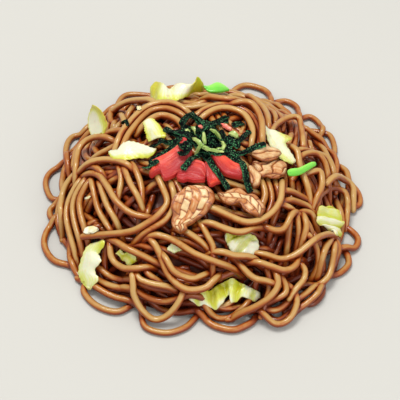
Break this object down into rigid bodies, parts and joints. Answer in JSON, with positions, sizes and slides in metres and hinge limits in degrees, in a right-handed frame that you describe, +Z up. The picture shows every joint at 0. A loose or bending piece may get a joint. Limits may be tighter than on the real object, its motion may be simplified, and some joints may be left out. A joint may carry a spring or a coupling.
{
  "type": "yakisoba",
  "caption": "Low heap of fried noodles with cabbage, pork, red ginger, spring onion and a tuft of shredded nori, flat underneath.",
  "frame": {"origin": "middle of the heap's flat underside", "axes": "+Z up out of the heap; -Y towards the eater, the side with the large front cabbage leaf; +X to the eater's right"},
  "size_m": [0.1934, 0.193, 0.071],
  "materials": {
    "noodle": "brown fried noodle, glossy with thin sauce",
    "nori": "near-black green dried seaweed with a crinkled sheen",
    "red_ginger": "moist red pickled ginger",
    "pork": "browned meat with pale fat patches",
    "cabbage": "cooked leaf, white rib to yellow-green edge, slightly moist",
    "spring_onion": "bright green leaf, slightly moist"
  },
  "bodies": {
    "root": {"noodle_heap": "noodle", "nori_tuft": "nori", "ginger_left": "red_ginger", "ginger_middle": "red_ginger", "ginger_wedge": "red_ginger", "ginger_right": "red_ginger", "pork_front_left": "pork", "pork_front_right": "pork", "pork_right_under": "pork", "pork_right_top": "pork", "pork_middle": "pork", "cabbage_back": "cabbage", "cabbage_back_left": "cabbage", "cabbage_by_nori": "cabbage", "cabbage_left": "cabbage", "cabbage_front_left": "cabbage", "cabbage_tucked": "cabbage", "cabbage_chip": "cabbage", "cabbage_front": "cabbage", "cabbage_front_right": "cabbage", "cabbage_right": "cabbage", "cabbage_back_right": "cabbage", "spring_onion_back": "spring_onion", "spring_onion_right": "spring_onion"}
  },
  "joints": []
}
